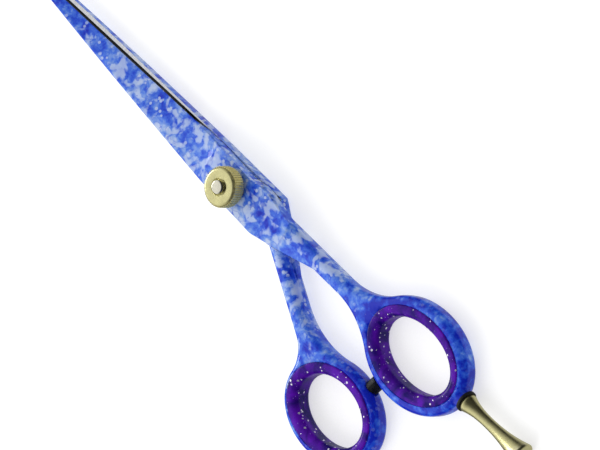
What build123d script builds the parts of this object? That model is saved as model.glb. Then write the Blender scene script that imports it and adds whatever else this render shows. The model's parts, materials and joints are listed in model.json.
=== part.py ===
"""Hair cutting shears: two painted halves on a knurled-knob pivot, with sizing inserts,
a bumper between the rings and a screwed-in finger rest.

Frame: +X to the tips, +Y to the thumb ring, +Z to the knob. The pivot axis is Z, and Z = 0 is
the plane that the pivot screw's head and the inserts rest on. The halves are stored closed.
Threads are plain cylinders at their mean size."""

from build123d import *
from dataclasses import dataclass
import math
import os

# ---------------------------------------------------------------- driving dimensions, mm

# Overall
blade_reach = 82.6          # pivot axis to the blunted tips
ring_end = 82.0             # pivot axis to the far end of the finger ring
blade_gap = 0.05            # hollow ground between the two inner faces
far = 60.0                  # reach of a cutting box or disc past what it cuts

# Blades
blade_thickness = 3.0       # at the pivot
tip_thickness = 1.3
blade_start = 9.0           # where the flat lap ends and the blade proper starts
spine_width = 5.0           # pivot axis to the spine, at blade_start
edge_width = 4.85           # pivot axis to the cutting edge, at blade_start
spine_power = 0.6           # how fast the spine runs in to the tip
edge_overrun = 1.0          # past the tips, where spine and edge would meet
slim_share = 0.455          # the facets shrink once the blade is this share of its width
bevel_width = 0.5           # polished facet along the cutting edge
bevel_height = 0.62
bevel_run = 17.0            # length over which the facet grows to its full size
bevel_first = 0.1           # share of its width that it starts with
land_height = 0.08          # left under the bevel
spine_chamfer = 0.4
lap_end = 16.0              # pivot axis to where the lap starts to run down into the shank
lap_tail_run = 17.0         # from there to where the finger half's lap ends
lap_tail_height = 1.0       # where it has sunk into the shank

# Handles
handle_low = 0.3            # underside of shanks and rings above the rest plane
handle_thickness = 5.6
handle_round = 2.05         # edge rounding of shanks and rings
shank_width = 4.3
heel_clearance = 0.3        # round the other half's lap
finger_hole = (11.8, 7.3)   # semi-axes of the finger hole inside the insert
thumb_hole = (10.6, 7.2)
finger_metal = (2.8, 3.3)   # ring's metal outside the insert, at its ends and at its sides
thumb_metal = (2.5, 2.7)
finger_ring_y = -3.6        # ring's centre from the closed blades' centre line
ring_lead = 11.0            # thumb ring's centre ahead of the finger ring's
ring_gap = 1.4              # between the two rings' widest lines, sideways

# Inserts
insert_wall = 1.9           # finger hole to the ring's bore
insert_proud = 0.3          # how far each lip stands off the ring's face
insert_lip_width = 0.9      # lip outside the ring's bore
insert_lip_height = 1.3
insert_round = 1.8          # rounding of the finger hole's edges
insert_lip_round = 0.45

# Pivot
screw_head_d = 8.4
screw_head_height = 0.6
screw_shaft_d = 4.6         # running shaft in the finger half
screw_key_flats = screw_shaft_d + 0.1   # across the neck's two flats, so the shaft passes
screw_neck_d = screw_key_flats + 0.8    # keyed neck in the thumb half
screw_shaft_short = 0.1     # its shoulder below the finger half's face
screw_thread_d = 3.6
screw_flat = 1.35           # axis to the flat that keys the thrust washer
screw_dog_d = 3.4           # domed end that shows in the knob
screw_dog_proud = 0.8       # above the knob's face
running_clearance = 0.03    # radial, round shafts and threads
key_clearance = 0.02        # keyed neck, each side
washer_d = 8.0              # nylon washer between the blades
washer_thickness = 0.5
washer_recess_play = 0.1    # radial
spring_d = 7.6
spring_bore_d = 5.0
spring_stock = 0.22
spring_height = 0.62        # fitted height of the bowed spring washer
thrust_d = 7.8
thrust_thickness = 0.5
stack_play = 0.01           # between the faces of the stack
knob_d = 9.7
knob_height = 3.7
knob_chamfer = 0.35
knob_recess_d = 4.3
knob_recess_depth = 0.7

# Finger rest, through the finger ring's centre
rest_turn = -1.5            # degrees from the ring's long axis, towards the thumb ring
rest_length = 20.2
rest_base_d = 4.6
rest_base_height = 0.6
rest_base_slope = -0.35     # of the side where it leaves the base
rest_waist_d = 2.75
rest_waist_at = 8.0         # from its base
rest_flare_d = 6.2
rest_flare_slope = 0.3      # of the side where it reaches the flare
rest_end_round = 0.5
rest_stud_d = 2.2
rest_hole_wall = 0.3        # left between the tapped hole and the ring's bore
rest_hole_spare = 0.2       # tapped hole past the stud
rest_washer_d = 5.4
rest_washer_thickness = 0.9
rest_washer_round = 0.25
rest_boss_d = 5.0
rest_boss_height = 0.2
rest_boss_root = 1.8        # into the ring's metal

# Bumper
bumper_angle = 68.0         # place round the finger ring, from its shank end
bumper_d = 3.6
bumper_length = 3.2
bumper_gap = 0.05           # left to the finger ring when closed


@dataclass
class Half:
    """One half, seen with its own blade on +Y and its own handle on -Y."""
    name: str
    ring_centre: tuple
    ring_size: tuple        # outer semi-axes
    ring_tilt: float        # degrees
    hole_size: tuple        # semi-axes of the finger hole inside the insert
    shank_from: tuple
    shank_end: tuple        # where the shank stops, from the ring's near end
    blend_near: float       # plan radius between ring and shank, on the blade's side
    blend_far: float
    lap: tuple              # plan corners of the lap, from the spine round to the edge
    lap_radii: tuple

    @property
    def shank_to(self):
        near_end = self.ring_centre[0] + self.ring_size[0]
        return near_end + self.shank_end[0], self.ring_centre[1] + self.shank_end[1]


def ring_outside(hole, metal):
    return hole[0] + insert_wall + metal[0], hole[1] + insert_wall + metal[1]


finger_ring = ring_outside(finger_hole, finger_metal)
thumb_ring = ring_outside(thumb_hole, thumb_metal)
finger_centre = (finger_ring[0] - ring_end, finger_ring_y)
thumb_centre = (finger_centre[0] + ring_lead,
                -finger_centre[1] - finger_ring[1] - thumb_ring[1] - ring_gap)

finger = Half(
    name="finger",
    ring_centre=finger_centre, ring_size=finger_ring, ring_tilt=4.0, hole_size=finger_hole,
    shank_from=(2.0 - lap_end, -1.2), shank_end=(-3.0, 1.0),
    blend_near=22.0, blend_far=20.0,
    lap=((-10.6, spine_width + 0.1), (-19.0, 2.9), (-lap_end - lap_tail_run, -0.8),
         (-lap_end - lap_tail_run, -3.2), (-18.0, -4.15), (-9.5, -edge_width - 0.7),
         (-6.5, -edge_width - 0.7), (-3.0, -edge_width)),
    lap_radii=(6.0, 12.0, 0.8, 0.8, 6.0, 1.5, 1.5, 3.0))
thumb = Half(
    name="thumb",
    ring_centre=thumb_centre, ring_size=thumb_ring, ring_tilt=-3.0, hole_size=thumb_hole,
    shank_from=(-lap_end, -2.0), shank_end=(-5.5, 3.8),
    blend_near=24.0, blend_far=8.0,
    lap=((-11.0, spine_width + 0.7), (-28.0, -6.3), (-31.0, -10.4), (-28.0, -10.8),
         (-lap_end, -edge_width)),
    lap_radii=(1.2, 1.0, 0.8, 0.8, 4.0))

# ---------------------------------------------------------------- places worked out from them

interface_z = screw_head_height + blade_thickness
face_z = interface_z + blade_thickness
spring_z = face_z + stack_play
thrust_z = spring_z + spring_height + stack_play
knob_z = thrust_z + thrust_thickness + stack_play
knob_face_z = knob_z + knob_height
screw_end_z = knob_face_z + screw_dog_proud
rest_seat = finger.ring_size[0] + rest_boss_height      # along the ring's long axis
rest_base = rest_seat + rest_washer_thickness
rest_hole_end = finger.hole_size[0] + insert_wall + rest_hole_wall
rest_stud_length = rest_base - rest_hole_end - rest_hole_spare
handle_middle_z = handle_low + handle_thickness / 2

IN_PLACE = {"finger": Pos(0, 0, interface_z), "thumb": Pos(0, 0, interface_z) * Rot(180, 0, 0)}
REST_AXIS = (Pos(*finger.ring_centre, handle_middle_z)
             * Rot(0, 0, finger.ring_tilt + rest_turn) * Rot(0, -90, 0))


def tube(outer_d, inner_d, height, z=0.0):
    ring = Circle(outer_d / 2) - Circle(inner_d / 2)
    return Pos(0, 0, z) * extrude(ring, amount=height)


def rod(diameter, low, high):
    return Pos(0, 0, low) * extrude(Circle(diameter / 2), amount=high - low)


def beyond(x, low, high):
    """Cutting box from x outwards, between two heights."""
    return Pos(x + far / 2, 0, (low + high) / 2) * Box(far, far, high - low)


# ---------------------------------------------------------------- the two halves

def handle_span(half):
    """Low and high face of the handle, from the interface, in the half's own frame."""
    low = handle_low - interface_z
    high = low + handle_thickness
    return (low, high) if half is finger else (-high, -low)


def blade_section(x):
    """Section of the blade at x: spine, sloping face, polished bevel and flat inner face."""
    along = (x - blade_start) / (blade_reach + edge_overrun - blade_start)
    grow = min(1.0, (x - blade_start) / bevel_run)
    spine = spine_width * (1 - along) ** spine_power
    edge = edge_width * (1 - along)
    thick = blade_thickness + (tip_thickness - blade_thickness) * along
    shrink = min(1.0, (spine + edge) / (slim_share * (spine_width + edge_width)))
    chamfer = spine_chamfer * shrink
    bevel = bevel_width * (bevel_first + (1 - bevel_first) * grow) * shrink
    ridge = thick + (bevel_height * shrink - thick) * (1 - (1 - grow) ** 2)
    inner = blade_gap / 2
    points = [(spine, inner), (spine, thick - chamfer), (spine - chamfer, thick),
              (-(edge - bevel), ridge), (-edge, inner + land_height * shrink), (-edge, inner)]
    return Plane.YZ.offset(x) * make_face(Polyline(*points, close=True))


def blade():
    reach = blade_reach - blade_start
    stations = [blade_start + reach * part for part in (0, 0.08, 0.23, 0.45, 0.65, 0.82, 0.93, 1)]
    return loft([blade_section(x) for x in stations])


def lap_plan(half):
    corners = [(blade_start, spine_width), *half.lap, (blade_start, -edge_width)]
    edge = FilletPolyline(*corners, radius=list(half.lap_radii))
    return make_face([edge, Line(edge @ 1, edge @ 0)])


def lap(half):
    """Flat part round the pivot, one blade thick, running down into the shank."""
    tail = min(point[0] for point in half.lap)
    profile = [(blade_start, blade_gap / 2), (blade_start, blade_thickness),
               (-lap_end, blade_thickness), (tail, lap_tail_height), (tail, blade_gap / 2)]
    side = make_face(Polyline(*profile, close=True))
    slab = extrude(Plane.XZ * side, amount=far, both=True)
    plate = extrude(lap_plan(half), amount=blade_thickness + 1) & slab
    top = plate.faces().filter_by(lambda face: abs(face.center().Z - blade_thickness) < 0.01)
    spine = top.edges().filter_by(lambda edge: edge.center().Y > spine_width * 0.75)
    return chamfer(spine, spine_chamfer)


def shank_plan(half):
    start, end = Vector(*half.shank_from), Vector(*half.shank_to)
    run = end - start
    middle = (start + end) / 2
    angle = math.degrees(math.atan2(run.Y, run.X))
    return Pos(middle.X, middle.Y) * Rot(0, 0, angle) * Rectangle(run.length, shank_width)


def ring_joint(bar, half, side):
    """Upright edge where one side of the shank meets the ring."""
    start, end = Vector(*half.shank_from), Vector(*half.shank_to)
    run = end - start
    across = Vector(run.Y, -run.X).normalized() * side

    def misfit(edge):
        offset = Vector(edge.center().X, edge.center().Y) - start
        beside = abs(offset.dot(across) - shank_width / 2)
        return beside + (far if offset.length < run.length / 3 else 0)

    return min(bar.edges().filter_by(Axis.Z), key=misfit)


def handle(half):
    """Shank and ring as one rounded bar of even thickness."""
    low, high = handle_span(half)
    ring = Pos(*half.ring_centre) * Rot(0, 0, half.ring_tilt) * Ellipse(*half.ring_size)
    bar = Pos(0, 0, low) * extrude(shank_plan(half) + ring, amount=high - low)
    for radius, side in ((half.blend_near, 1), (half.blend_far, -1)):
        bar = fillet(ring_joint(bar, half, side), radius)
    rims = bar.faces().filter_by(Axis.Z).edges()
    return fillet(rims, handle_round)


def room_for_other(half):
    """What the other half's lap and shank sweep, on the far side of the interface."""
    other = thumb if half is finger else finger
    plan = offset(lap_plan(other) + shank_plan(other), heel_clearance, kind=Kind.INTERSECTION)
    heel = math.hypot(*other.lap[0]) + heel_clearance
    cutter = mirror(plan, about=Plane.XZ) + Circle(heel)
    return Pos(0, 0, blade_gap / 2) * extrude(cutter, amount=-far)


def oval(size, grow, low, high):
    return Pos(0, 0, low) * extrude(Ellipse(size[0] + grow, size[1] + grow), amount=high - low)


def ring_place(half):
    """Centre of the ring at mid-thickness, in the half's own frame."""
    middle = sum(handle_span(half)) / 2
    return Pos(*half.ring_centre, middle) * Rot(0, 0, half.ring_tilt)


def insert_body(half):
    """Sizing insert round its own centre: a wall in the bore and a lip on each face."""
    face = handle_thickness / 2 + insert_proud
    seat = face - insert_lip_height
    lips = [oval(half.hole_size, insert_wall + insert_lip_width, seat, face),
            oval(half.hole_size, insert_wall + insert_lip_width, -face, -seat)]
    wall = oval(half.hole_size, insert_wall, -face, face)
    return lips, wall


def blank(half):
    """The half as forged: blade, lap and handle, with the ring bored for its insert."""
    lips, wall = insert_body(half)
    pocket = ring_place(half) * (wall + lips[0] + lips[1])
    return blade() + lap(half) + (handle(half) - room_for_other(half) - pocket)


def washer_recess():
    depth = washer_thickness / 2 + stack_play
    return rod(washer_d + 2 * washer_recess_play, 0, depth)


def finger_blade():
    body = blank(finger) - washer_recess()
    body -= rod(screw_shaft_d + 2 * running_clearance, 0, blade_thickness)
    body = IN_PLACE["finger"] * body
    body += REST_AXIS * rod(rest_boss_d, finger.ring_size[0] - rest_boss_root, rest_seat)
    return body - REST_AXIS * rod(rest_stud_d + 2 * running_clearance, rest_hole_end, rest_seat)


def thumb_blade():
    body = blank(thumb) - washer_recess()
    keyhole = rod(screw_neck_d + 2 * key_clearance, 0, blade_thickness)
    body -= keyhole & Box(far, screw_key_flats + 2 * key_clearance, far)
    return IN_PLACE["thumb"] * body - bumper()


def insert(half):
    """Soft ring that sizes the finger hole, snapped over both faces of the metal ring."""
    lips, wall = insert_body(half)
    lips = [fillet(lip.faces().filter_by(Axis.Z).edges(), insert_lip_round) for lip in lips]
    body = wall + lips[0] + lips[1] - oval(half.hole_size, 0, -far, far)
    rims = body.edges().filter_by(
        lambda edge: abs(edge.bounding_box().size.X / 2 - half.hole_size[0]) < 0.01
        and abs(edge.center().Z) > handle_thickness / 4)
    return IN_PLACE[half.name] * ring_place(half) * fillet(rims, insert_round)


# ---------------------------------------------------------------- pivot

def pivot_screw():
    neck_top = interface_z - washer_thickness / 2 - stack_play
    shaft_top = face_z - screw_shaft_short
    dog_z = knob_face_z - knob_recess_depth
    head = rod(screw_head_d, 0, screw_head_height)
    head = chamfer(head.faces().sort_by(Axis.Z)[0].edges(), screw_head_height / 3)
    neck = rod(screw_neck_d, 0, neck_top) & Box(far, screw_key_flats, far)
    shaft = rod(screw_shaft_d, neck_top, shaft_top)
    thread = rod(screw_thread_d, 0, dog_z) - beyond(screw_flat, shaft_top, dog_z)
    dog = rod(screw_dog_d, dog_z, screw_end_z)
    dog = fillet(dog.faces().sort_by(Axis.Z)[-1].edges(), screw_dog_proud / 2)
    return head + neck + shaft + thread + dog


def pivot_washer():
    low = interface_z - washer_thickness / 2
    return tube(washer_d, screw_shaft_d + 2 * running_clearance, washer_thickness, low)


def tension_spring():
    """Spring washer bowed along X, its ends on the finger half's face."""
    rise = spring_height - spring_stock
    radius = ((spring_d / 2) ** 2 + rise ** 2) / (2 * rise)
    band = Circle(radius + spring_stock) - Circle(radius)
    band = extrude(Plane.XZ * band, amount=spring_d, both=True)
    place = Pos(0, 0, spring_z + rise - radius)
    return place * band & tube(spring_d, spring_bore_d, spring_height, spring_z)


def thrust_washer():
    bore = rod(screw_thread_d + 2 * running_clearance, 0, thrust_thickness)
    bore -= beyond(screw_flat + running_clearance, 0, thrust_thickness)
    return Pos(0, 0, thrust_z) * (rod(thrust_d, 0, thrust_thickness) - bore)


def tension_knob():
    body = rod(knob_d, 0, knob_height)
    body = chamfer(body.faces().filter_by(Axis.Z).edges(), knob_chamfer)
    body -= rod(screw_thread_d + 2 * running_clearance, 0, knob_height)
    body -= rod(knob_recess_d, knob_height - knob_recess_depth, knob_height)
    return Pos(0, 0, knob_z) * body


# ---------------------------------------------------------------- finger rest and bumper

def finger_rest():
    """Waisted peg with a flared end and a stud into the ring."""
    base, waist, flare = rest_base_d / 2, rest_waist_d / 2, rest_flare_d / 2
    side = Spline((base, rest_base_height), (waist, rest_waist_at),
                  (flare, rest_length - rest_end_round),
                  tangents=((rest_base_slope, 1), (rest_flare_slope, 1)))
    outline = [Line((0, 0), (base, 0)), Line((base, 0), (base, rest_base_height)), side,
               RadiusArc(side @ 1, (flare - rest_end_round, rest_length), -rest_end_round),
               Line((flare - rest_end_round, rest_length), (0, rest_length)),
               Line((0, rest_length), (0, 0))]
    peg = revolve(Plane.XZ * make_face(outline), Axis.Z)
    stud = rod(rest_stud_d, -rest_stud_length, 0)
    return REST_AXIS * Pos(0, 0, rest_base + stack_play) * (peg + stud)


def rest_washer():
    bore = rest_stud_d + 2 * running_clearance
    ring = tube(rest_washer_d, bore, rest_washer_thickness - stack_play, rest_seat + stack_play)
    rims = ring.edges().filter_by(lambda edge: edge.length > math.pi * rest_base_d)
    return REST_AXIS * fillet(rims, rest_washer_round)


def bumper():
    """Rubber plug in the thumb ring, standing square on the finger ring's rim."""
    long_axis, short_axis = finger.ring_size
    turn = math.radians(bumper_angle)
    point = (long_axis * math.cos(turn), short_axis * math.sin(turn))
    normal = math.degrees(math.atan2(point[1] / short_axis ** 2, point[0] / long_axis ** 2))
    on_ring = Pos(*finger.ring_centre, handle_middle_z) * Rot(0, 0, finger.ring_tilt)
    outwards = on_ring * Pos(*point) * Rot(0, 0, normal) * Rot(0, 90, 0)
    return outwards * rod(bumper_d, bumper_gap, bumper_gap + bumper_length)


# ---------------------------------------------------------------- files

PARTS = {
    "finger_blade": finger_blade,
    "thumb_blade": thumb_blade,
    "finger_insert": lambda: insert(finger),
    "thumb_insert": lambda: insert(thumb),
    "pivot_screw": pivot_screw,
    "pivot_washer": pivot_washer,
    "tension_spring": tension_spring,
    "thrust_washer": thrust_washer,
    "tension_knob": tension_knob,
    "finger_rest": finger_rest,
    "rest_washer": rest_washer,
    "bumper": bumper,
}

if __name__ == "__main__":
    os.makedirs("parts", exist_ok=True)
    for node, make in PARTS.items():
        export_step(make(), f"parts/{node}.step")
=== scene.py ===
# %% [markdown]
# # Hair cutting shears
# These are shears for cutting hair: two steel halves that cross at a pivot, coated in a
# glossy marbled blue, with a pale brass tension knob, violet inserts in the finger holes and
# a brass rest for the little finger. The solid model gives every shape and every place, so
# this file only dresses it. It loads that model, makes smooth copies of its pieces, adds the
# details that repeat, and gives each piece its material.

# %% Load the solid model
import json
import math

import bmesh
import bpy
from mathutils import Matrix, Vector


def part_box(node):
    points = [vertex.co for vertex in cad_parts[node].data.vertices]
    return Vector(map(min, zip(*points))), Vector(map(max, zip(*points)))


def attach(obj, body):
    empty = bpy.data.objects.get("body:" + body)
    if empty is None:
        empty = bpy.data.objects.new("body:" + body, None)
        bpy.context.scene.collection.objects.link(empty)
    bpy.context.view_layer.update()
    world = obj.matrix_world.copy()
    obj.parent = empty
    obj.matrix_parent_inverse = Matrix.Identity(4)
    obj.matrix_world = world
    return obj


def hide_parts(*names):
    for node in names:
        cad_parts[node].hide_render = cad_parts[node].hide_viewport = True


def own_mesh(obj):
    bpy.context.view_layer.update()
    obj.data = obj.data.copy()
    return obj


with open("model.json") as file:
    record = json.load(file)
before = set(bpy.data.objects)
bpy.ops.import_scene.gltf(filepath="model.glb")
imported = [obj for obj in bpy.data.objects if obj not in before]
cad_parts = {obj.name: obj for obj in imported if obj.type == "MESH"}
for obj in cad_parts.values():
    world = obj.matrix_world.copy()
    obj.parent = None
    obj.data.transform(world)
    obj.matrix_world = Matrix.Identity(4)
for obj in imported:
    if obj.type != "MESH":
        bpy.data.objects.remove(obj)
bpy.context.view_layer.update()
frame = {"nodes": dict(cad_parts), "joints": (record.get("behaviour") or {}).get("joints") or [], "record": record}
MM = 0.001


# %% [markdown]
# A few places are needed again and again: the plane where the two blades meet, the line of
# the cutting edge, and the line on which the finger rest unscrews. The plane, the tips and the
# rest's line come from the solid model, so they stay right if the model changes. Here too is
# the one way in which this file puts an object of its own in the scene.

# %% Places taken from the model
def size(node):
    low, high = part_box(node)
    return high - low


def middle(node):
    low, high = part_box(node)
    return (low + high) / 2


def new_object(name, data):
    thing = bpy.data.objects.new(name, data)
    bpy.context.scene.collection.objects.link(thing)
    return thing


INTERFACE_Z = middle("pivot_washer").z
TIP_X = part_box("finger_blade")[1].x
EDGE_START_X = 9.0 * MM         # the cutting edge starts here, just ahead of the pivot
EDGE_START_WIDTH = 4.85 * MM    # and this far from the centre line
EDGE_END_X = TIP_X + 1.0 * MM   # the edge's line would cross the centre line here
JOINTS = {joint["name"]: joint for joint in frame["joints"]}
REST_LINE = tuple(JOINTS["rest_travel"]["axis"])
print("blades meet at", round(INTERFACE_Z / MM, 2), "mm; tips at", round(TIP_X / MM, 1), "mm")


# %% [markdown]
# ## Camera
# The shears are seen from the handle side, a little from above, through a long lens that
# keeps the blades' lines straight and parallel. The picture is turned so that the tips point
# to its upper left corner and the finger rest to its lower right.

# %% Camera
AIM = Vector((-19.4, -4.6, 3.6)) * MM       # the point in the middle of the picture
LEAN = math.radians(39.0)                   # of the line of sight from straight down
PAGE_RIGHT = Vector((-0.772, -0.636, 0.0)).normalized()
PAGE_UP = Vector((-PAGE_RIGHT.y, PAGE_RIGHT.x, 0.0))
CAMERA_DISTANCE = 3.7
VIEW_WIDTH = 138.7 * MM


def add_camera():
    data = bpy.data.cameras.new("camera")
    data.sensor_width = 36.0
    data.lens = data.sensor_width * CAMERA_DISTANCE / VIEW_WIDTH
    data.clip_end = 20.0
    camera = new_object("camera", data)
    back = PAGE_RIGHT * math.sin(LEAN) + Vector((0, 0, math.cos(LEAN)))
    right = PAGE_RIGHT * math.cos(LEAN) - Vector((0, 0, math.sin(LEAN)))
    turn = Matrix((right, PAGE_UP, back)).transposed()
    camera.matrix_world = Matrix.Translation(AIM + back * CAMERA_DISTANCE) @ turn.to_4x4()
    bpy.context.scene.camera = camera
    return camera


camera = add_camera()
print("camera lens", round(camera.data.lens), "mm")


# %% [markdown]
# ## Helpers for node trees
# Every material and every effect here is a tree of nodes. A few small helpers keep the
# recipes short: `add` adds a node and fills in or links its inputs, and the others add the
# kinds of node that come back again and again.

# %% Node helpers
def add(tree, kind, inputs=None, **settings):
    """Add a node, set its properties, and fill in or link its inputs by name or place."""
    node = tree.nodes.new(kind)
    for name, value in settings.items():
        setattr(node, name, value)
    for name, value in (inputs or {}).items():
        socket = node.inputs[name]
        if isinstance(value, bpy.types.NodeSocket):
            tree.links.new(value, socket)
        else:
            socket.default_value = value
    return node


def maths(tree, operation, *values):
    inputs = dict(enumerate(values))
    return add(tree, "ShaderNodeMath", inputs, operation=operation).outputs[0]


def vector_maths(tree, operation, *values, **named):
    """A length and a dot product give a number, all else gives a vector."""
    node = add(tree, "ShaderNodeVectorMath", dict(enumerate(values)) | named, operation=operation)
    return node.outputs["Value" if operation in ("LENGTH", "DOT_PRODUCT") else "Vector"]


def noise(tree, point, scale, detail=2.0, distortion=0.0, roughness=0.5):
    return add(tree, "ShaderNodeTexNoise", {
        "Vector": point, "Scale": scale, "Detail": detail, "Roughness": roughness,
        "Distortion": distortion}).outputs["Fac"]


def ramp(tree, value, stops):
    """A colour ramp through (position, colour) stops."""
    node = add(tree, "ShaderNodeValToRGB", {0: value})
    elements = node.color_ramp.elements
    while len(elements) < len(stops):
        elements.new(1.0)
    for element, (position, colour) in zip(elements, stops):
        element.position = position
        element.color = (*colour, 1.0)
    return node.outputs["Color"]


def mix(tree, factor, *colours):
    """Mix two colours, each a socket or three plain numbers."""
    a, b = (colour if isinstance(colour, bpy.types.NodeSocket) else (*colour, 1.0)
            for colour in colours)
    return add(tree, "ShaderNodeMix", {0: factor, 6: a, 7: b}, data_type="RGBA").outputs[2]


def blend_value(tree, factor, a, b):
    return add(tree, "ShaderNodeMix", {0: factor, 2: a, 3: b}, data_type="FLOAT").outputs[0]


def spread(tree, value, low, high, to_low=0.0, to_high=1.0):
    """Stretch a value's range from low-high to another range, and clamp it there."""
    inputs = {0: value, 1: low, 2: high, 3: to_low, 4: to_high}
    return add(tree, "ShaderNodeMapRange", inputs, clamp=True).outputs[0]


def new_group(name, inputs, outputs, kind="ShaderNodeTree"):
    """An empty node group with named sockets, and the sockets of its two end nodes."""
    tree = bpy.data.node_groups.new(name, kind)
    for label, socket_type, value in inputs:
        socket = tree.interface.new_socket(label, in_out="INPUT", socket_type=socket_type)
        if value is not None:
            socket.default_value = value
    for label, socket_type in outputs:
        tree.interface.new_socket(label, in_out="OUTPUT", socket_type=socket_type)
    return tree, tree.nodes.new("NodeGroupInput").outputs, tree.nodes.new("NodeGroupOutput").inputs


def place_group(tree, group, **inputs):
    return add(tree, "ShaderNodeGroup", inputs, node_tree=group).outputs


def new_material(name, **constants):
    """A material with only a Principled BSDF, whose plain numbers are set on its own sockets."""
    material = bpy.data.materials.new(name)
    material.use_nodes = True
    tree = material.node_tree
    surface = tree.nodes["Principled BSDF"]
    for label, value in constants.items():
        surface.inputs[label.replace("_", " ")].default_value = value
    return material, tree, surface.inputs


def bump(tree, surface, height, strength, distance=0.2 * MM):
    node = add(tree, "ShaderNodeBump", {
        "Strength": strength, "Distance": distance, "Height": height})
    tree.links.new(node.outputs[0], surface["Normal"])


def object_mm(tree):
    """The point on the piece, in millimetres from the pivot axis and the rest plane."""
    point = add(tree, "ShaderNodeTexCoord").outputs["Object"]
    return vector_maths(tree, "SCALE", point, Scale=1 / MM)


FLOAT, COLOUR, VECTOR = "NodeSocketFloat", "NodeSocketColor", "NodeSocketVector"
INTEGER, MATERIAL, GEOMETRY = "NodeSocketInt", "NodeSocketMaterial", "NodeSocketGeometry"
print("node helpers are ready; noise is laid out in millimetres, so a scale of 1 is one per mm")


# %% [markdown]
# ## Effect: marbled enamel
# The coating is printed from a floating film, which leaves clouds of pale blue in a royal
# blue ground, darker blots with crisp rims and small round drops. Layers of noise make the
# clouds, a cell pattern makes the drops. Where the film is stretched round the rings it is
# almost plain, so the group has an input that calms the pattern.

# %% Group: marbled enamel
DEEP_BLUE = (0.006, 0.018, 0.46)
ROYAL_BLUE = (0.016, 0.075, 0.64)
MID_BLUE = (0.062, 0.175, 0.74)
PALE_BLUE = (0.215, 0.360, 0.78)
CLOUD_BLUE = (0.470, 0.565, 0.82)


def marbled_enamel():
    tree, given, result = new_group(
        "marbled_enamel",
        [("Point", VECTOR, None), ("Calm", FLOAT, 0.0)],
        [("Color", COLOUR)])
    point, calm = given["Point"], given["Calm"]
    clouds = noise(tree, point, scale=0.16, distortion=0.4)
    mottle = noise(tree, point, scale=0.60, detail=3.0, distortion=0.3, roughness=0.55)
    both = blend_value(tree, 0.45, clouds, mottle)
    lighter = maths(tree, "SUBTRACT", both, maths(tree, "MULTIPLY", calm, 0.120))
    colour = ramp(tree, lighter, [
        (0.34, DEEP_BLUE), (0.41, ROYAL_BLUE), (0.48, MID_BLUE), (0.56, PALE_BLUE),
        (0.64, CLOUD_BLUE)])
    # pale patches with a crisp edge and a darker rim
    patches = noise(tree, point, scale=0.30, detail=1.5, distortion=0.5)
    patches = blend_value(tree, 0.22, patches, mottle)
    patches = maths(tree, "SUBTRACT", patches, maths(tree, "MULTIPLY", calm, 0.26))
    rim = maths(tree, "MULTIPLY", spread(tree, patches, 0.465, 0.50),
                spread(tree, patches, 0.50, 0.53, 0.45, 0.0))
    colour = mix(tree, rim, colour, ROYAL_BLUE)
    colour = mix(tree, spread(tree, patches, 0.505, 0.59, 0.0, 0.72), colour, CLOUD_BLUE)
    # small round drops, in groups
    drops = add(tree, "ShaderNodeTexVoronoi", {
        "Vector": point, "Scale": 0.62, "Randomness": 1.0}).outputs["Distance"]
    drop = spread(tree, drops, 0.21, 0.31, 1.0, 0.0)
    groups = spread(tree, noise(tree, point, scale=0.11, detail=1.0), 0.45, 0.53)
    drop = maths(tree, "MULTIPLY", drop, groups)
    drop = maths(tree, "MULTIPLY", drop, spread(tree, calm, 0.0, 1.0, 0.85, 0.15))
    colour = mix(tree, drop, colour, CLOUD_BLUE)
    # and blots of royal blue
    blot = spread(tree, noise(tree, point, scale=0.36, distortion=1.1), 0.61, 0.64)
    blot = maths(tree, "MULTIPLY", blot, spread(tree, calm, 0.0, 1.0, 0.6, 0.25))
    colour = mix(tree, blot, colour, ROYAL_BLUE)
    tree.links.new(colour, result["Color"])
    return tree


MARBLED_ENAMEL = marbled_enamel()
print("marbled enamel:", len(MARBLED_ENAMEL.nodes), "nodes")


# %% [markdown]
# ## Effect: ground steel
# The blades are ground after coating, so the inner faces and the bevel along the cutting edge
# are bare steel. A mask finds them from the point's place: close to the plane where the
# blades meet, or past the line where the bevel starts. Near the pivot the blade's outline
# swells past the straight line of the edge, and the bevel keeps to the rim there.

# %% Group: where the steel is bare
# every length is in millimetres, and every place is along the blade from the pivot
INNER_FACE_HEIGHT = 0.028                    # the inner face lies nearer than this to the plane
INNER_FACE_START = -15.0
BEVEL_START, BEVEL_FULL = 10.5, 26.0         # where the bevel starts and where it is full
BEVEL_NARROW, BEVEL_WIDE = 0.05, 0.425
SWELL, SWELL_END = 0.5, 20.0                 # how far the outline swells, and up to where


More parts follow.
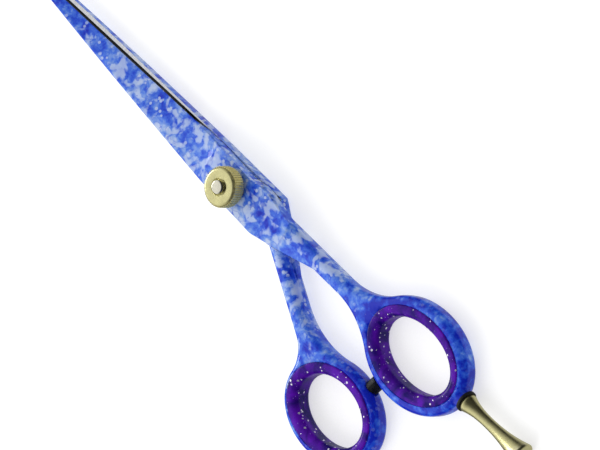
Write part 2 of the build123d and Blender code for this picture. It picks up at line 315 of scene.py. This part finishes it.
def bare_steel_mask():
    tree, given, result = new_group(
        "bare_steel_mask",
        [("Point", VECTOR, None), ("Side", FLOAT, 1.0)],
        [("Mask", FLOAT), ("Bevel", FLOAT)])
    place = add(tree, "ShaderNodeSeparateXYZ", {0: given["Point"]}).outputs
    along = place["X"]
    height = maths(tree, "SUBTRACT", place["Z"], INTERFACE_Z / MM)
    height = maths(tree, "MULTIPLY", height, given["Side"])
    inner = maths(tree, "LESS_THAN", height, INNER_FACE_HEIGHT)
    inner = maths(tree, "MULTIPLY", inner, maths(tree, "GREATER_THAN", along, INNER_FACE_START))
    slope = EDGE_START_WIDTH / (EDGE_END_X - EDGE_START_X)
    edge = maths(tree, "MULTIPLY", maths(tree, "SUBTRACT", EDGE_END_X / MM, along), slope)
    inside = maths(tree, "ADD", maths(tree, "MULTIPLY", place["Y"], given["Side"]), edge)
    width = spread(tree, along, EDGE_START_X / MM, BEVEL_FULL, BEVEL_NARROW, BEVEL_WIDE)
    swell = spread(tree, along, BEVEL_START, SWELL_END, SWELL, 0.0)
    bevel = maths(tree, "LESS_THAN", inside, maths(tree, "SUBTRACT", width, swell))
    bevel = maths(tree, "MULTIPLY", bevel, maths(tree, "GREATER_THAN", along, BEVEL_START))
    tree.links.new(maths(tree, "MAXIMUM", inner, bevel), result["Mask"])
    outer = maths(tree, "SUBTRACT", 1.0, inner)
    tree.links.new(maths(tree, "MULTIPLY", bevel, outer), result["Bevel"])
    return tree


BARE_STEEL_MASK = bare_steel_mask()
print("the bevel starts", BEVEL_START, "mm from the pivot and is", BEVEL_WIDE, "mm wide")


# %% [markdown]
# ## Effect: fine scratches
# Metal that has been ground or polished carries fine lines in one direction. Noise that is
# squeezed along one axis gives them; each metal sets the direction and the strength.

# %% Group: fine lines
def fine_lines():
    tree, given, result = new_group(
        "fine_lines",
        [("Point", VECTOR, None), ("Stretch", VECTOR, (1.0, 1.0, 1.0))],
        [("Lines", FLOAT)])
    point = vector_maths(tree, "MULTIPLY", given["Point"], given["Stretch"])
    tree.links.new(noise(tree, point, scale=1.0, detail=4.0, roughness=0.7), result["Lines"])
    return tree


FINE_LINES = fine_lines()
print("fine lines:", len(FINE_LINES.nodes), "nodes")


# %% [markdown]
# ## Material: the coated halves
# One material dresses both halves. It mixes the enamel with bare ground steel by the mask,
# and a clear coat lies only over the enamel. The pattern is calmed on the rings and, less so,
# towards the tips.

# %% Material: coated half
DULL_STEEL, BRIGHT_STEEL = (0.55, 0.56, 0.59), (0.84, 0.84, 0.86)
PAINTED_BEVEL_SHADE = (0.16, 0.16, 0.17)       # painted shade: the fine bevel is darkened to draw its dark line
CALM_AT_RINGS = (-36.0, -54.0, 0.0, 1.0)     # from and to where, in mm, and from and to how much
CALM_AT_TIPS = (48.0, 74.0, 0.0, 0.7)
PAINT_ROUGHNESS = 0.34


def coated_half(name, side):
    material, tree, surface = new_material(
        name, Specular_IOR_Level=0.0, Coat_Roughness=0.06, Coat_IOR=1.5)
    point = object_mm(tree)
    along = add(tree, "ShaderNodeSeparateXYZ", {0: point}).outputs["X"]
    calm = maths(tree, "MAXIMUM", spread(tree, along, *CALM_AT_RINGS),
                 spread(tree, along, *CALM_AT_TIPS))
    # each half shows another place of the same pattern
    shifted = vector_maths(tree, "ADD", point, (40.0, 11.0 * side, 7.0))
    enamel = place_group(tree, MARBLED_ENAMEL, Point=shifted, Calm=calm)
    ground = place_group(tree, BARE_STEEL_MASK, Point=point, Side=side)
    bare = ground["Mask"]
    lines = place_group(tree, FINE_LINES, Point=point, Stretch=(9.0, 0.5, 0.5))["Lines"]
    steel = ramp(tree, lines, [(0.36, DULL_STEEL), (0.66, BRIGHT_STEEL)])
    # painted shade: the bevel along the cutting edge is darkened to a dark line
    steel = mix(tree, ground["Bevel"], steel, PAINTED_BEVEL_SHADE)
    tree.links.new(mix(tree, bare, enamel["Color"], steel), surface["Base Color"])
    tree.links.new(bare, surface["Metallic"])
    steel_rough = spread(tree, lines, 0.3, 0.7, 0.10, 0.18)
    rough = blend_value(tree, bare, PAINT_ROUGHNESS, steel_rough)
    tree.links.new(rough, surface["Roughness"])
    tree.links.new(spread(tree, bare, 0.0, 1.0, 1.0, 0.0), surface["Coat Weight"])
    peel = noise(tree, point, scale=1.4)
    bump(tree, surface, blend_value(tree, bare, peel, lines), strength=0.10)
    return material


FINGER_COATING = coated_half("marbled_coating_finger_half", 1.0)
THUMB_COATING = coated_half("marbled_coating_thumb_half", -1.0)
print("coatings:", FINGER_COATING.name, "and", THUMB_COATING.name)


# %% [markdown]
# ## Material: pale brass
# The knob, the screw and the finger rest are turned and polished in a pale, slightly green
# brass. Turning leaves faint rings, handling leaves faint cloudy smears in the gloss. A band
# off each piece's axis is painted light: painted shade on the knob's outer rim, a painted
# highlight on the rest and on the screw's post.

# %% Material: pale brass
def painted_band_mask(tree, point, place, axis, painted_band):
    """A band of painted light, patchy: from one distance to another off an axis."""
    offset = vector_maths(tree, "SUBTRACT", point, tuple(place))
    along = vector_maths(tree, "DOT_PRODUCT", offset, axis)
    foot = vector_maths(tree, "SCALE", axis, Scale=along)
    radius = vector_maths(tree, "LENGTH", vector_maths(tree, "SUBTRACT", offset, foot))
    patchy = noise(tree, point, scale=1.3, detail=3.0)
    return maths(tree, "MULTIPLY", spread(tree, radius, *painted_band),
                 spread(tree, patchy, 0.35, 0.65, 0.25, 0.8))


def pale_brass(name, tint, gloss, stretch, place, axis, painted_band, painted_band_tint, painted_band_gloss,
               painted_band_metal=1.0):
    """Turned brass, with a band of painted light off its axis that has its own tint, gloss and share of bare
    metal.
    """
    material, tree, surface = new_material(name)
    point = object_mm(tree)
    lines = place_group(tree, FINE_LINES, Point=point, Stretch=stretch)["Lines"]
    smear = noise(tree, point, scale=0.35, detail=3.0, roughness=0.6)
    darker = tuple(channel * 0.78 for channel in tint)
    tone = blend_value(tree, 0.5, lines, smear)
    metal = ramp(tree, tone, [(0.3, darker), (0.62, tint)])
    # painted light: in this band the brass takes the given tint, gloss and metal; darker tints paint shade, paler
    # ones a highlight
    painted_share = painted_band_mask(tree, point, place, axis, painted_band)
    tree.links.new(mix(tree, painted_share, metal, painted_band_tint), surface["Base Color"])
    tree.links.new(blend_value(tree, painted_share, 1.0, painted_band_metal), surface["Metallic"])
    dull = spread(tree, smear, 0.3, 0.7, *gloss)
    tree.links.new(blend_value(tree, painted_share, dull, painted_band_gloss), surface["Roughness"])
    bump(tree, surface, lines, strength=0.12, distance=0.1 * MM)
    return material


BRASS = (0.84, 0.79, 0.40)
PALE_BRASS = (0.93, 0.90, 0.74)
PIVOT = (0.0, 0.0, 0.0)
UPRIGHT = (0.0, 0.0, 1.0)
REST_MIDDLE = middle("finger_rest") / MM
KNOB_RADIUS = size("tension_knob").x / 2
KNOB_RIM = (KNOB_RADIUS / MM - 0.80, KNOB_RADIUS / MM - 0.15)
# painted shade: the knob's outer rim is darkened to olive and made less metallic
KNOB_BRASS = pale_brass(
    "knob_brass", BRASS, gloss=(0.14, 0.26), stretch=(2.0, 2.0, 12.0), place=PIVOT, axis=UPRIGHT,
    painted_band=KNOB_RIM, painted_band_tint=(0.66, 0.56, 0.17), painted_band_gloss=0.44, painted_band_metal=0.45)
# painted highlight: the rest's outer part is made paler and glossier
REST_BRASS = pale_brass(
    "finger_rest_brass", BRASS, gloss=(0.24, 0.36), stretch=(14.0, 1.0, 1.0), place=REST_MIDDLE,
    axis=REST_LINE, painted_band=(2.4, 3.0), painted_band_tint=(0.92, 0.89, 0.70), painted_band_gloss=0.20)
# painted highlight: the screw's post is made paler and glossier
SCREW_BRASS = pale_brass(
    "screw_brass", PALE_BRASS, gloss=(0.12, 0.24), stretch=(3.0, 3.0, 10.0), place=PIVOT,
    axis=UPRIGHT, painted_band=(1.2, 1.7), painted_band_tint=(0.96, 0.95, 0.87), painted_band_gloss=0.09)
print("brass on the knob,", round(2 * KNOB_RADIUS / MM, 2), "mm across, the rest and the screw")


# %% [markdown]
# ## Material: violet insert
# The inserts are soft violet plastic with fine glitter moulded in: most of it is deep in the
# plastic and shows as faint specks, some lies at the surface and is added later as real
# flakes.

# %% Material: violet insert
DARK_VIOLET, VIOLET = (0.010, 0.0008, 0.13), (0.090, 0.0015, 0.38)
SPECK_LILAC = (0.62, 0.45, 0.95)
BARE_CELLS = 0.72                     # this share of the cells holds no speck


def violet_insert(name):
    material, tree, surface = new_material(
        name, Coat_Weight=0.18, Coat_Roughness=0.10, Specular_IOR_Level=0.08)
    point = object_mm(tree)
    swirl = noise(tree, point, scale=0.25, detail=3.0, distortion=0.8)
    body = ramp(tree, swirl, [(0.38, DARK_VIOLET), (0.64, VIOLET)])
    cells = add(tree, "ShaderNodeTexVoronoi", {"Vector": point, "Scale": 1.7}).outputs
    speck = spread(tree, cells["Distance"], 0.10, 0.16, 1.0, 0.0)
    chance = add(tree, "ShaderNodeSeparateColor", {0: cells["Color"]}).outputs[0]
    speck = maths(tree, "MULTIPLY", speck, maths(tree, "GREATER_THAN", chance, BARE_CELLS))
    faint = maths(tree, "MULTIPLY", speck, 0.55)
    tree.links.new(mix(tree, faint, body, SPECK_LILAC), surface["Base Color"])
    tree.links.new(spread(tree, swirl, 0.3, 0.7, 0.32, 0.45), surface["Roughness"])
    bump(tree, surface, noise(tree, point, scale=3.0), strength=0.08)
    return material


INSERT_VIOLET = violet_insert("violet_insert")
print("inserts:", INSERT_VIOLET.name)


# %% [markdown]
# ## Materials: flakes, rubber, nylon and spring steel
# The plain finishes share one recipe. The bumper and the rest's washer are black rubber with
# a fine mottled skin, the pivot washer is milky nylon, the spring is bright steel, and the
# flakes are silvery lilac foil.

# %% Materials: flakes, rubber, nylon and spring steel
def mottled(name, dark, light, scale, rough, metallic=0.0):
    """A plain finish with slow changes of tone and gloss and a fine skin."""
    material, tree, surface = new_material(name, Metallic=metallic)
    point = object_mm(tree)
    tone = noise(tree, point, scale=scale, detail=4.0, roughness=0.6)
    tree.links.new(ramp(tree, tone, [(0.35, dark), (0.65, light)]), surface["Base Color"])
    tree.links.new(spread(tree, tone, 0.3, 0.7, *rough), surface["Roughness"])
    bump(tree, surface, noise(tree, point, scale=scale * 6, detail=3.0), strength=0.15)
    return material


FLAKE_SILVER = mottled("glitter_flake", (0.75, 0.68, 0.95), (0.97, 0.95, 1.0), 1.0, (0.15, 0.3),
                       metallic=0.6)
BLACK_RUBBER = mottled("black_rubber", (0.002, 0.002, 0.003), (0.008, 0.008, 0.009), 0.8,
                       (0.50, 0.66))
NYLON = mottled("nylon", (0.72, 0.72, 0.68), (0.82, 0.82, 0.79), 0.6, (0.35, 0.5))
SPRING_STEEL = mottled("spring_steel", (0.45, 0.46, 0.48), (0.60, 0.61, 0.63), 0.9, (0.2, 0.32),
                       metallic=1.0)
print("plain finishes:", [m.name for m in (FLAKE_SILVER, BLACK_RUBBER, NYLON, SPRING_STEEL)])


# %% [markdown]
# ## Smooth copies of the solid model's pieces
# The solid model arrives as loose triangles. A copy is welded, shaded smooth except over real
# edges, and stands in for the piece it came from; its corners and size stay what they were.

# %% Weld and dress each piece
BODY_OF = {node: body for body, nodes in frame["record"]["behaviour"]["bodies"].items()
           for node in nodes}
WELD = 0.002 * MM
SMOOTH_ANGLE = math.radians(32)       # a sharper corner than this stays an edge


def smooth_copy(node):
    mesh = frame["nodes"][node].data.copy()
    work = bmesh.new()
    work.from_mesh(mesh)
    bmesh.ops.remove_doubles(work, verts=work.verts, dist=WELD)
    work.to_mesh(mesh)
    work.free()
    mesh.name = node + "_finish"
    mesh.materials.clear()
    mesh.shade_smooth()
    mesh.set_sharp_from_angle(angle=SMOOTH_ANGLE)
    piece = new_object(mesh.name, mesh)
    shading = piece.modifiers.new("even_shading", "WEIGHTED_NORMAL")
    shading.keep_sharp = True
    shading.weight = 80
    return piece


def stand_in(piece, node, material):
    piece.data.materials.append(material)
    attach(piece, BODY_OF[node])
    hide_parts(node)
    return piece


DRESS = {
    "finger_blade": FINGER_COATING,
    "thumb_blade": THUMB_COATING,
    "finger_insert": INSERT_VIOLET,
    "thumb_insert": INSERT_VIOLET,
    "pivot_screw": SCREW_BRASS,
    "pivot_washer": NYLON,
    "thrust_washer": KNOB_BRASS,
    "finger_rest": REST_BRASS,
    "rest_washer": BLACK_RUBBER,
    "bumper": BLACK_RUBBER,
}
dressed = {}
for node, material in DRESS.items():
    dressed[node] = stand_in(smooth_copy(node), node, material)
print("dressed", len(dressed), "pieces")


# %% [markdown]
# The tension spring is the one piece that changes shape in the real shears: it flattens towards
# its foot as the knob is screwed down, by a little more than the knob travels. Here it stays on
# its half and gets a mesh of its own, and nothing flattens it.

# %% The tension spring, on its half, with a mesh of its own
spring = stand_in(smooth_copy("tension_spring"), "tension_spring", SPRING_STEEL)
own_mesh(spring)


# %% [markdown]
# ## Knurled knob
# The tension knob is turned from bar, and its rim is knurled so that it can be set with
# fingertips. The body is a profile turned round the pivot axis.

# %% Turn the knob's body
def turned(name, profile, centre, segments=160):
    """Turn a closed (radius, height) profile round a Z axis through centre."""
    work = bmesh.new()
    rings = []
    for step in range(segments):
        angle = 2 * math.pi * step / segments
        rings.append([work.verts.new((centre.x + radius * math.cos(angle),
                                      centre.y + radius * math.sin(angle), height))
                      for radius, height in profile])
    for step, ring in enumerate(rings):
        following = rings[(step + 1) % segments]
        for index in range(len(profile)):
            after = (index + 1) % len(profile)
            work.faces.new((ring[index], following[index], following[after], ring[after]))
    bmesh.ops.recalc_face_normals(work, faces=work.faces)
    mesh = bpy.data.meshes.new(name)
    work.to_mesh(mesh)
    work.free()
    mesh.shade_smooth()
    mesh.set_sharp_from_angle(angle=math.radians(35))
    return new_object(name, mesh)


def arc(centre, radius, start, end, steps=5):
    """Points on a rounded corner of a profile, angles in degrees."""
    angles = [math.radians(start + (end - start) * i / steps) for i in range(steps + 1)]
    return [(centre[0] + radius * math.cos(a), centre[1] + radius * math.sin(a)) for a in angles]


KNOB_LOW, KNOB_HIGH = (corner.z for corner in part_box("tension_knob"))
KNURL_DEPTH = 0.20 * MM
BORE_RADIUS = 1.83 * MM
RECESS_RADIUS = 2.15 * MM
RECESS_DEPTH = 0.7 * MM
RIM = KNOB_RADIUS - KNURL_DEPTH
FOOT_ROUND = 0.32 * MM
FACE_ROUND = 0.72 * MM
LIP_ROUND = 0.12 * MM


def knob_profile():
    low, high, lip = FOOT_ROUND, FACE_ROUND, LIP_ROUND
    points = [(BORE_RADIUS, KNOB_LOW)]
    points += arc((RIM - low, KNOB_LOW + low), low, -90, 0)
    points += arc((RIM - high, KNOB_HIGH - high), high, 0, 90, steps=8)
    points += arc((RECESS_RADIUS + lip, KNOB_HIGH - lip), lip, 90, 180)
    points += [(RECESS_RADIUS, KNOB_HIGH - RECESS_DEPTH), (BORE_RADIUS, KNOB_HIGH - RECESS_DEPTH)]
    return points


knob = turned("knob_body", knob_profile(), middle("tension_knob"))
print("knob body turned from", len(knob_profile()), "profile points")


# %% [markdown]
# The knurl is one tooth repeated round the rim, which is what Geometry Nodes are for: the
# tree asks for the number of teeth and for their radius, size, length and centre.

# %% Knurl: one tooth repeated round the rim
KNURL_TEETH = 48


def knurl_tree():
    tree, given, result = new_group(
        "knurled_rim",
        [("Geometry", GEOMETRY, None), ("Teeth", INTEGER, KNURL_TEETH), ("Radius", FLOAT, RIM),
         ("Tooth", FLOAT, 0.25 * MM), ("Length", FLOAT, 2.0 * MM), ("Centre", VECTOR, (0, 0, 0)),
         ("Material", MATERIAL, None)],
        [("Geometry", GEOMETRY)], kind="GeometryNodeTree")
    rim = add(tree, "GeometryNodeMeshCircle", {
        "Vertices": given["Teeth"], "Radius": given["Radius"]}).outputs[0]
    tooth = add(tree, "GeometryNodeMeshCylinder", {
        "Vertices": 3, "Radius": given["Tooth"], "Depth": given["Length"]},
        fill_type="TRIANGLE_FAN").outputs["Mesh"]
    where = tree.nodes.new("GeometryNodeInputPosition").outputs[0]
    outward = add(tree, "FunctionNodeAlignRotationToVector", {"Vector": where},
                  axis="X", pivot_axis="Z").outputs[0]
    teeth = add(tree, "GeometryNodeInstanceOnPoints", {
        "Points": rim, "Instance": tooth, "Rotation": outward}).outputs[0]
    teeth = add(tree, "GeometryNodeRealizeInstances", {0: teeth}).outputs[0]
    teeth = add(tree, "GeometryNodeTransform", {
        "Geometry": teeth, "Translation": given["Centre"]}).outputs[0]
    joined = tree.nodes.new("GeometryNodeJoinGeometry")
    tree.links.new(given["Geometry"], joined.inputs[0])
    tree.links.new(teeth, joined.inputs[0])
    whole = add(tree, "GeometryNodeRealizeInstances", {0: joined.outputs[0]}).outputs[0]
    whole = add(tree, "GeometryNodeSetMaterial", {
        "Geometry": whole, "Material": given["Material"]}).outputs[0]
    tree.links.new(whole, result[0])
    return tree


def grown(piece, tree, values, name):
    """Run a Geometry Nodes tree on a piece and return its result as a plain mesh object."""
    modifier = piece.modifiers.new("grow", "NODES")
    modifier.node_group = tree
    for socket in tree.interface.items_tree:
        if socket.in_out == "INPUT" and socket.name in values:
            modifier[socket.identifier] = values[socket.name]
    depsgraph = bpy.context.evaluated_depsgraph_get()
    mesh = bpy.data.meshes.new_from_object(piece.evaluated_get(depsgraph))
    piece.modifiers.remove(modifier)
    mesh.name = name
    return new_object(name, mesh)


KNURL_ROOT = 0.12 * MM                # the teeth are rooted this deep in the body
TOOTH = KNURL_DEPTH + KNURL_ROOT
KNURL_LOW, KNURL_HIGH = KNOB_LOW + 1.3 * FOOT_ROUND, KNOB_HIGH - 0.75 * FACE_ROUND
knurled = grown(knob, knurl_tree(), {
    "Teeth": KNURL_TEETH, "Radius": KNOB_RADIUS - TOOTH, "Tooth": TOOTH,
    "Length": KNURL_HIGH - KNURL_LOW,
    "Centre": Vector((*middle("tension_knob").xy, (KNURL_LOW + KNURL_HIGH) / 2)),
    "Material": KNOB_BRASS}, "tension_knob_finish")
bpy.data.objects.remove(knob)
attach(knurled, BODY_OF["tension_knob"])
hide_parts("tension_knob")
print("knob has", len(knurled.data.polygons), "faces")


# %% [markdown]
# ## Glitter
# Flat hexagonal flakes are moulded into the violet inserts. Those at the surface catch the
# light one by one. Points are scattered over the insert with a fixed seed, each gets a flake
# laid on the surface with a small random lean and size.

# %% Glitter flakes on the inserts
FLAKES_PER_AREA = 1.3e5               # per square metre
FLAKE_RADIUS = 0.25 * MM
FLAKE_LIFT = 0.02 * MM                # above the plastic
FLAKE_LEAN, FLAKE_TURN = 0.16, 1.0    # at most, in radians: off the surface, and in its plane


def glitter_tree():
    tree, given, result = new_group(
        "glitter_flakes",
        [("Geometry", GEOMETRY, None), ("Flakes per area", FLOAT, 1.0e5),
         ("Flake", FLOAT, 0.2 * MM), ("Seed", INTEGER, 1), ("Material", MATERIAL, None)],
        [("Geometry", GEOMETRY)], kind="GeometryNodeTree")
    scatter = add(tree, "GeometryNodeDistributePointsOnFaces", {
        "Mesh": given["Geometry"], "Density": given["Flakes per area"], "Seed": given["Seed"]},
        distribute_method="RANDOM")
    flake = add(tree, "GeometryNodeMeshCircle", {"Vertices": 6, "Radius": given["Flake"]},
                fill_type="NGON").outputs[0]
    flake = add(tree, "GeometryNodeTransform", {
        "Geometry": flake, "Translation": (0, 0, FLAKE_LIFT)}).outputs[0]
    lean = add(tree, "FunctionNodeRandomValue", {
        0: (-FLAKE_LEAN, -FLAKE_LEAN, 0.0), 1: (FLAKE_LEAN, FLAKE_LEAN, FLAKE_TURN), "Seed": 5},
        data_type="FLOAT_VECTOR").outputs[0]
    turn = add(tree, "FunctionNodeRotateRotation", {
        "Rotation": scatter.outputs["Rotation"], "Rotate By": lean},
        rotation_space="LOCAL").outputs[0]
    big = add(tree, "FunctionNodeRandomValue", {2: 0.45, 3: 1.25, "Seed": 9}).outputs[1]
    flakes = add(tree, "GeometryNodeInstanceOnPoints", {
        "Points": scatter.outputs["Points"], "Instance": flake, "Rotation": turn,
        "Scale": big}).outputs[0]
    flakes = add(tree, "GeometryNodeRealizeInstances", {0: flakes}).outputs[0]
    flakes = add(tree, "GeometryNodeSetMaterial", {
        "Geometry": flakes, "Material": given["Material"]}).outputs[0]
    tree.links.new(flakes, result[0])
    return tree


GLITTER_TREE = glitter_tree()
for seed, node in enumerate(("finger_insert", "thumb_insert"), start=3):
    flakes = grown(dressed[node], GLITTER_TREE, {
        "Flakes per area": FLAKES_PER_AREA, "Flake": FLAKE_RADIUS, "Seed": seed,
        "Material": FLAKE_SILVER}, node + "_glitter")
    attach(flakes, BODY_OF[node])
    print(node, "has", len(flakes.data.polygons), "flakes")


# %% [markdown]
# ## Floor
# The shears lie on a plain white floor that glows a little, so that shadows stay faint. It
# lies just under the rest plane, because the lowest flakes stand a little below that.

# %% Floor
FLOOR_HALF = 3.0
FLOOR_Z = -0.15 * MM


def stage_square(name, half, material):
    mesh = bpy.data.meshes.new(name)
    corners = [(-half, -half, 0), (half, -half, 0), (half, half, 0), (-half, half, 0)]
    mesh.from_pydata(corners, [], [(0, 1, 2, 3)])
    mesh.materials.append(material)
    square = new_object(name, mesh)
    return square


FLOOR_WHITE = new_material(
    "floor_white", Roughness=0.9, Base_Color=(0.50, 0.50, 0.50, 1.0),
    Emission_Color=(1.0, 1.0, 1.0, 1.0), Emission_Strength=0.62)[0]
floor = stage_square("floor", FLOOR_HALF, FLOOR_WHITE)
floor.location.z = FLOOR_Z
floor.visible_glossy = False
print("floor at", round(floor.location.z / MM, 2), "mm")


# %% [markdown]
# ## Light
# Polished metal only looks polished if it has something dark to reflect as well, so what
# glossy faces see of the surroundings is bright on the left, dark on the right and along the
# horizon, and pale again below. That draws the dark line along the cutting edge and the olive
# shade on the brass, together with painted shade in their materials. Paint sees an even light,
# stronger from the left, and two lamps add soft shadows.

# %% Light
def soft_box(name, direction, distance, width, power, in_gloss):
    data = bpy.data.lights.new(name, "AREA")
    data.size = width
    data.energy = power
    lamp = new_object(name, data)
    away = Vector(direction).normalized()
    lamp.location = AIM + away * distance
    lamp.visible_glossy = in_gloss
    lamp.rotation_mode = "QUATERNION"
    lamp.rotation_quaternion = (-away).to_track_quat("-Z", "Y")
    return lamp


GLOSS_LEFT, GLOSS_RIGHT, GLOSS_LOW = 0.85, 0.03, 0.50
PAINT_LEFT, PAINT_RIGHT = 1.22, 0.32
HORIZON_SHARE = 0.12                  # of the brightness higher up, in what glossy faces see


def sky():
    """Even light from all round, stronger from the left. Glossy faces see it dimmer, dark to
    the right and along the horizon, as if black cards stood there, and a pale floor below."""
    world = bpy.data.worlds.new("studio")
    world.use_nodes = True
    tree = world.node_tree
    direction = add(tree, "ShaderNodeTexCoord").outputs["Generated"]
    leftward = vector_maths(tree, "DOT_PRODUCT", direction, tuple(-PAGE_RIGHT))
    height = add(tree, "ShaderNodeSeparateXYZ", {0: direction}).outputs["Z"]
    for_gloss = spread(tree, leftward, -0.05, 0.65, GLOSS_RIGHT, GLOSS_LEFT)
    horizon = spread(tree, height, -0.05, 0.30, HORIZON_SHARE, 1.0)
    for_gloss = maths(tree, "MULTIPLY", for_gloss, horizon)
    from_floor = spread(tree, height, -0.25, -0.60, 0.0, GLOSS_LOW)
    for_gloss = maths(tree, "MAXIMUM", for_gloss, from_floor)
    for_paint = spread(tree, leftward, -0.8, 0.8, PAINT_RIGHT, PAINT_LEFT)
    glossy = add(tree, "ShaderNodeLightPath").outputs["Is Glossy Ray"]
    background = tree.nodes["Background"].inputs
    tree.links.new(blend_value(tree, glossy, for_paint, for_gloss), background["Strength"])
    background["Color"].default_value = (1.0, 1.0, 1.0, 1.0)
    bpy.context.scene.world = world


sky()
key = soft_box("key", -PAGE_UP * 0.75 - PAGE_RIGHT * 0.30 + Vector((0, 0, 0.80)),
               distance=0.9, width=0.60, power=2.6, in_gloss=False)
side = soft_box("side", -PAGE_RIGHT + PAGE_UP * 0.25 + Vector((0, 0, 0.42)),
                distance=0.9, width=0.40, power=2.0, in_gloss=True)
bpy.context.scene.view_settings.view_transform = "Standard"
print("lamps, W:", {lamp.name: round(lamp.data.energy, 1) for lamp in (key, side)})
